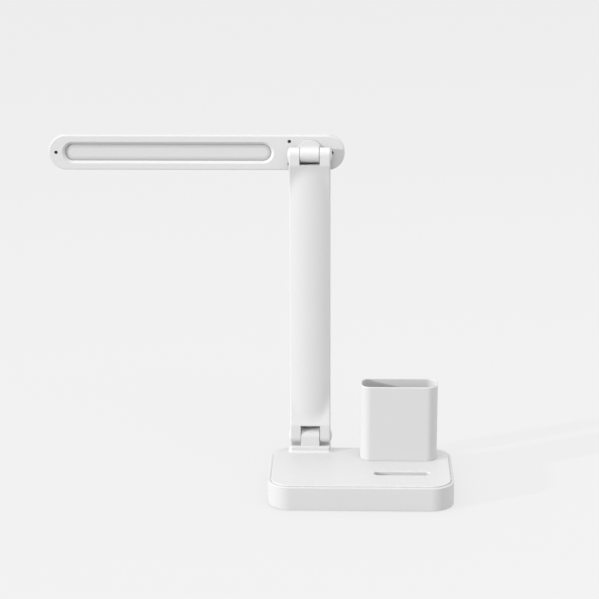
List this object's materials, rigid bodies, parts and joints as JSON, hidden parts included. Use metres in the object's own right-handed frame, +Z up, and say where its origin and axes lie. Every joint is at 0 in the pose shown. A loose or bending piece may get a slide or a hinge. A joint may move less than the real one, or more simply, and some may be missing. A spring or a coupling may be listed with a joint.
{
  "type": "folding desk lamp",
  "caption": "Folding desk lamp with a weighted base, pen cup, phone groove, flat hinged arm and a light bar that tips and swivels.",
  "frame": {"origin": "middle of the base's footprint, on the plane that the rubber feet stand on", "axes": "+X to the right along the base's width and the light bar, +Y to the back, +Z up; rest pose is the upright lamp of the picture"},
  "size_m": [0.3495, 0.1054, 0.3058],
  "materials": {
    "white_housing": "satin white moulded plastic with a very fine spark texture",
    "white_cover": "satin white moulded plastic",
    "white_cup": "satin white moulded plastic, a shade greyer",
    "white_inner": "plain white inner moulding",
    "zinc_steel": "zinc-plated steel",
    "raw_steel": "cold-rolled steel",
    "spring_steel": "blued spring steel",
    "dark_steel": "black-coated steel",
    "socket_steel": "bright pressed steel",
    "grey_rubber": "soft grey rubber",
    "cell_wrap": "thin blue-grey film around the cell",
    "black_plastic": "black moulded plastic",
    "green_board": "green coated circuit board",
    "white_board": "white coated circuit board",
    "copper_foil": "bare copper foil",
    "red_wire": "red insulated wire",
    "white_wire": "white insulated wire",
    "milky_pane": "milky light-spreading plastic, unlit",
    "led_phosphor": "yellow phosphor over the chips, unlit"
  },
  "bodies": {
    "base": {"base_housing": "white_housing", "base_top_cover": "white_cover", "base_bottom_plate": "white_inner", "base_screws": "zinc_steel", "rubber_feet": "grey_rubber", "counterweight": "raw_steel", "counterweight_screws": "zinc_steel", "battery": "cell_wrap", "battery_strap": "black_plastic", "strap_screws": "zinc_steel", "control_board": "green_board", "board_components": "black_plastic", "board_screws": "zinc_steel", "charging_socket": "socket_steel", "touch_sensor": "copper_foil", "battery_lead": "red_wire", "pen_cup": "white_cup", "pen_cup_screws": "zinc_steel"},
    "arm": {"arm_front_shell": "white_cover", "arm_back_cover": "white_cover", "arm_screws": "zinc_steel", "arm_strip": "raw_steel", "arm_wire": "white_wire", "base_hinge_pin": "raw_steel", "base_hinge_washers": "white_inner", "base_hinge_springs": "spring_steel", "base_hinge_nut": "zinc_steel", "base_hinge_caps": "white_cover", "head_hinge_pin": "raw_steel", "head_hinge_washers": "white_inner", "head_hinge_springs": "spring_steel", "head_hinge_nut": "zinc_steel", "head_hinge_caps": "white_cover"},
    "knuckle": {"head_knuckle": "white_cover", "swivel_retainer": "raw_steel", "swivel_screws": "zinc_steel"},
    "head": {"swivel_spring": "spring_steel", "head_face": "white_cover", "head_back_cover": "white_housing", "head_screws": "dark_steel", "diffuser": "milky_pane", "reflector_tray": "white_inner", "led_board": "white_board", "led_chips": "led_phosphor", "head_wire": "white_wire"}
  },
  "joints": [
    {"name": "arm_tilt", "type": "hinge", "parent": "base", "child": "arm", "pos_m": [-0.0448, 0.039, 0.0363], "axis": [1, 0, 0], "range_deg": [-30, 90]},
    {"name": "head_pitch", "type": "hinge", "parent": "arm", "child": "knuckle", "pos_m": [-0.0448, 0.039, 0.2908], "axis": [1, 0, 0], "range_deg": [0, 150]},
    {"name": "head_swivel", "type": "hinge", "parent": "knuckle", "child": "head", "pos_m": [-0.0448, 0.047, 0.2908], "axis": [0, 1, 0], "range_deg": [-90, 90]}
  ]
}
